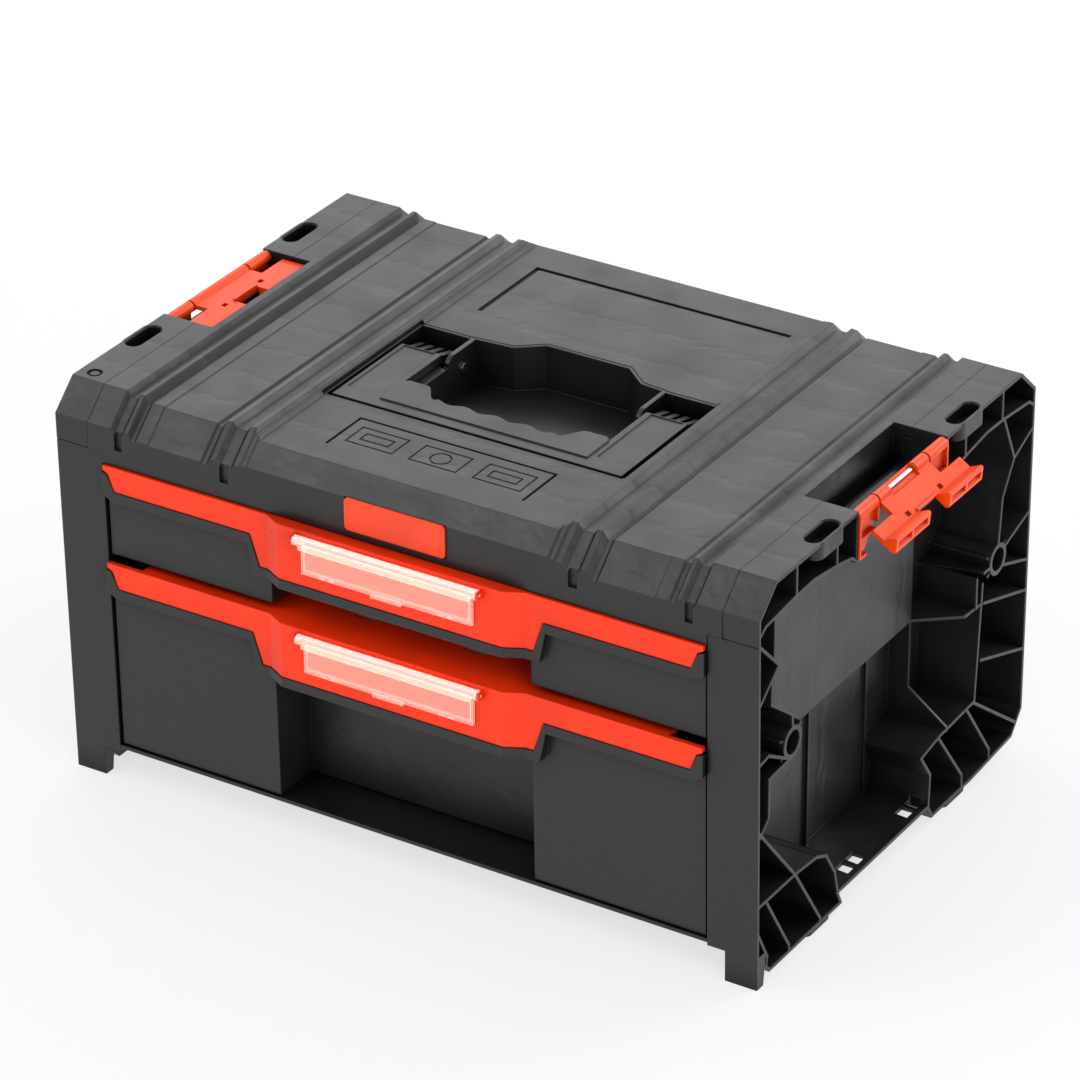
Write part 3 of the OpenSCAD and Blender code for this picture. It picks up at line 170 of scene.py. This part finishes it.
# drawn steel wire or rolled strip, with fine lines along the piece
def steel(name, look):
    m = drawnLines
    material, tree = newMaterial(name)
    place = addNode(tree, "ShaderNodeTexCoord").outputs["Object"]
    lined = addNode(tree, "ShaderNodeMapping", {}, {"Vector": place, "Scale": look["stretch"]})
    lines = addNode(tree, "ShaderNodeTexNoise", {}, {
        "Vector": lined.outputs[0], "Scale": 1.0, "Detail": 4.0, "Roughness": 0.6})
    sheen = addNode(tree, "ShaderNodeMapRange", {}, {
        "Value": lines.outputs["Fac"], "To Min": look["roughness"] - m["smoother"],
        "To Max": look["roughness"] + m["rougher"]})
    rounded = addNode(tree, "ShaderNodeBevel", {"samples": m["edgeSamples"]}, {"Radius": m["edgeRadius"]})
    bumped = addNode(tree, "ShaderNodeBump", {}, {
        "Strength": m["lineStrength"], "Distance": m["lineDepth"], "Height": lines.outputs["Fac"],
        "Normal": rounded.outputs["Normal"]})
    shader = addNode(tree, "ShaderNodeBsdfPrincipled", {}, {
        "Base Color": linear(look["colour"]), "Metallic": 1.0, "Roughness": sheen.outputs[0],
        "Normal": bumped.outputs["Normal"]})
    addNode(tree, "ShaderNodeOutputMaterial", {}, {"Surface": shader.outputs[0]})
    return material


# clear polycarbonate: the red bar shows through; a highlight is painted on the edges and the top bar, and the
# haze is tinted red as a painted reflection of the bar
def clearPlastic(name, look, barFrom):
    material, tree = newMaterial(name)
    place = addNode(tree, "ShaderNodeTexCoord").outputs["Object"]
    flow = addNode(tree, "ShaderNodeTexNoise", {}, {
        "Vector": place, "Scale": look["flowScale"], "Detail": 3.0, "Roughness": 0.5})
    rounded = addNode(tree, "ShaderNodeBevel", {"samples": look["edgeSamples"]},
                      {"Radius": look["edgeRadius"]})
    bumped = addNode(tree, "ShaderNodeBump", {}, {
        "Strength": 0.5, "Distance": look["flowDepth"], "Height": flow.outputs["Fac"],
        "Normal": rounded.outputs["Normal"]})
    flat = addNode(tree, "ShaderNodeNewGeometry").outputs["Normal"]
    turned = addNode(tree, "ShaderNodeVectorMath", {"operation": "DOT_PRODUCT"}, {
        0: rounded.outputs["Normal"], 1: flat})
    # painted highlight: a mask from how far the rounded normal turns off the flat
    edge = addNode(tree, "ShaderNodeMapRange", {}, {
        "Value": turned.outputs["Value"], "From Min": look["edgeFrom"], "From Max": look["edgeTo"]})
    height = addNode(tree, "ShaderNodeSeparateXYZ", {}, {0: place}).outputs["Z"]
    bar = addNode(tree, "ShaderNodeMapRange", {}, {
        "Value": height, "From Min": barFrom, "From Max": barFrom + look["barFade"],
        "To Max": look["barShare"]})
    paintedHighlightMask = addNode(tree, "ShaderNodeMath", {"operation": "MAXIMUM"}, {
        0: edge.outputs[0], 1: bar.outputs[0]})
    # the colour goes from the red-tinted haze to the painted highlight on the edges and the top bar
    colour = addNode(tree, "ShaderNodeMix", {"data_type": "RGBA"}, {
        "A": linear(look["haze"]), "B": linear(look["edge"])})
    tree.links.new(paintedHighlightMask.outputs[0], colour.inputs["Factor"])
    through = addNode(tree, "ShaderNodeBsdfTransparent", {}, {"Color": linear(look["tint"])})
    haze = addNode(tree, "ShaderNodeBsdfPrincipled", {}, {
        "Base Color": colour.outputs["Result"], "Roughness": look["roughness"], "IOR": look["index"],
        "Normal": bumped.outputs["Normal"]})
    added = addNode(tree, "ShaderNodeAddShader", {}, {0: through.outputs[0], 1: haze.outputs[0]})
    addNode(tree, "ShaderNodeOutputMaterial", {}, {"Surface": added.outputs[0]})
    return material


materials = {
    # matt polypropylene; shallow rib marks break up the large flat walls
    "shell_black": plastic("MouldedPolypropyleneShell", blackShell, sink=True),
    # the same resin, its colour darkened as painted shade for walls that stay in shade
    "inner_black": plastic("MouldedPolypropyleneInner", blackInnerPaintedShade),
    # smoother tool faces, so the handle and its well take a softer shine
    "handle_black": plastic("SatinPolypropyleneHandle", blackHandle),
    "drawer_black": plastic("MouldedPolypropyleneDrawer", blackDrawer, sink=True),
    # satin red with clean highlights along its edges
    "grip_red": plastic("SatinAbsGrip", redGrip),
    "badge_red": plastic("SatinAbsBadge", redBadge),
    # orange-red nylon with a slightly waxy shine
    "latch_red": plastic("MouldedNylonLatch", redLatch),
    # drawn wire: bright lines along the rod
    "steel_bright": steel("DrawnSteelRod", brightSteel),
    # rolled strip for the slides
    "steel_slide": steel("RolledSteelSlide", slideSteel),
}
for name, node in nodes.items():
    # each window has a material of its own, because its top bar, where a highlight is painted, lies at its
    # own height
    if name.endswith("label_window"):
        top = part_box(name)[1][2]
        materials["window_clear"] = clearPlastic(
            "ClearPolycarbonate" + name.title().replace("_", ""), clearWindow, top - clearWindow["barHeight"])
    for slot in node.material_slots:
        slot.material = materials[slot.material.name.split(".")[0]]
print("materials", len(materials))

studio = {
    "floor": "#f8f8f8",
    "floorSize": 12,
    "floorRoughness": 0.8,
    "patchScale": 3.0,        # slow patches in the floor's tone
    "patchTone": 0.985,       # the tone of the darkest of them
    "floorGlow": 0.7,         # how far the floor is lifted to white where it is seen
    "world": "#ffffff",
    "worldStrength": 0.8,     # as light; where it is seen, the world is plain white
    "seen": "#ffffff",        # what the camera sees of the world and in the floor's glow
}
softboxes = [
    # name, place, aimed at, size, power
    ("SoftboxBehind", (-1.0, 1.9, 1.45), (0, 0, 0.1), (2.8, 1.7), 13),
    ("SoftboxKey", (-1.15, -1.3, 1.85), (0, 0, 0.1), (0.9, 0.9), 7),
    ("SoftboxRight", (1.25, 1.75, 1.15), (0.1, 0, 0.1), (0.8, 1.0), 11),
    ("SoftboxFill", (1.9, -1.2, 0.9), (0.1, 0, 0.1), (1.2, 1.2), 12),
]
viewPoint = {
    "location": (1.42908, -2.29013, 1.63432),
    "azimuth": 32.06,
    "elevation": 28.95,
    "roll": -0.34,
    "lens": 182.19,           # millimetres, on the sensor below
    "sensor": 36,
    "clipEnd": 50,
}


def selectNone():
    bpy.ops.object.select_all(action="DESELECT")


# 1 for what the camera sees, also in a reflection or through the clear windows
def seenRays(tree):
    rays = addNode(tree, "ShaderNodeLightPath")
    mirrored = addNode(tree, "ShaderNodeMath", {"operation": "MAXIMUM"}, {
        0: rays.outputs["Is Glossy Ray"], 1: rays.outputs["Is Transmission Ray"]})
    straight = addNode(tree, "ShaderNodeMath", {"operation": "MAXIMUM"}, {
        0: rays.outputs["Is Camera Ray"], 1: mirrored.outputs[0]})
    return straight.outputs[0]


selectNone()
bpy.ops.mesh.primitive_plane_add(size=studio["floorSize"], location=(0, 0, 0))
floor = bpy.context.object
floor.name = "StudioFloor"
floorMaterial, tree = newMaterial("PaleStudioFloor")
floorPlace = addNode(tree, "ShaderNodeTexCoord").outputs["Object"]
floorNoise = addNode(tree, "ShaderNodeTexNoise", {}, {
    "Vector": floorPlace, "Scale": studio["patchScale"], "Detail": 2.0})
floorTone = addNode(tree, "ShaderNodeMapRange", {}, {
    "Value": floorNoise.outputs["Fac"], "To Min": studio["patchTone"], "To Max": 1.0})
floorColour = addNode(tree, "ShaderNodeMix", {"data_type": "RGBA", "blend_type": "MULTIPLY"}, {
    "Factor": 1.0, "A": linear(studio["floor"])})
tree.links.new(floorTone.outputs[0], floorColour.inputs["B"])
floorShader = addNode(tree, "ShaderNodeBsdfPrincipled", {}, {
    "Base Color": floorColour.outputs["Result"], "Roughness": studio["floorRoughness"]})
glow = addNode(tree, "ShaderNodeEmission", {}, {"Color": linear(studio["seen"]), "Strength": 1.0})
lifted = addNode(tree, "ShaderNodeMath", {"operation": "MULTIPLY"}, {
    0: seenRays(tree), 1: studio["floorGlow"]})
floorMixed = addNode(tree, "ShaderNodeMixShader", {}, {
    0: lifted.outputs[0], 1: floorShader.outputs[0], 2: glow.outputs[0]})
addNode(tree, "ShaderNodeOutputMaterial", {}, {"Surface": floorMixed.outputs[0]})
floor.data.materials.append(floorMaterial)

world = bpy.data.worlds.new("Studio")
bpy.context.scene.world = world
world.use_nodes = True
tree = world.node_tree
tree.nodes.clear()
around = addNode(tree, "ShaderNodeBackground", {}, {
    "Color": linear(studio["world"]), "Strength": studio["worldStrength"]})
behind = addNode(tree, "ShaderNodeBackground", {}, {"Color": linear(studio["seen"]), "Strength": 1.0})
seen = addNode(tree, "ShaderNodeMixShader", {}, {
    0: seenRays(tree), 1: around.outputs[0], 2: behind.outputs[0]})
addNode(tree, "ShaderNodeOutputWorld", {}, {"Surface": seen.outputs[0]})

for name, place, aim, size, power in softboxes:
    selectNone()
    bpy.ops.object.light_add(type="AREA", location=place)
    lamp = bpy.context.object
    lamp.name = name
    lamp.data.shape = "RECTANGLE"
    lamp.data.size, lamp.data.size_y = size
    lamp.data.energy = power
    lamp.rotation_euler = (Vector(place) - Vector(aim)).to_track_quat("Z", "Y").to_euler()

# the camera's own axes, from the angles at which the photo was taken
azimuth, elevation, roll = (math.radians(viewPoint[k]) for k in ("azimuth", "elevation", "roll"))
back = Vector((math.sin(azimuth) * math.cos(elevation), -math.cos(azimuth) * math.cos(elevation),
               math.sin(elevation)))
right = Vector((math.cos(azimuth), math.sin(azimuth), 0))
up = back.cross(right)
across = math.cos(roll) * right + math.sin(roll) * up
upright = -math.sin(roll) * right + math.cos(roll) * up
selectNone()
bpy.ops.object.camera_add()
camera = bpy.context.object
camera.name = "PhotoCamera"
camera.data.lens = viewPoint["lens"]
camera.data.sensor_width = viewPoint["sensor"]
camera.data.clip_end = viewPoint["clipEnd"]
camera.matrix_world = Matrix((
    (across[0], upright[0], back[0], viewPoint["location"][0]),
    (across[1], upright[1], back[1], viewPoint["location"][1]),
    (across[2], upright[2], back[2], viewPoint["location"][2]),
    (0, 0, 0, 1)))
bpy.context.scene.camera = camera
bpy.context.scene.view_settings.view_transform = "Standard"
print("studio ready")
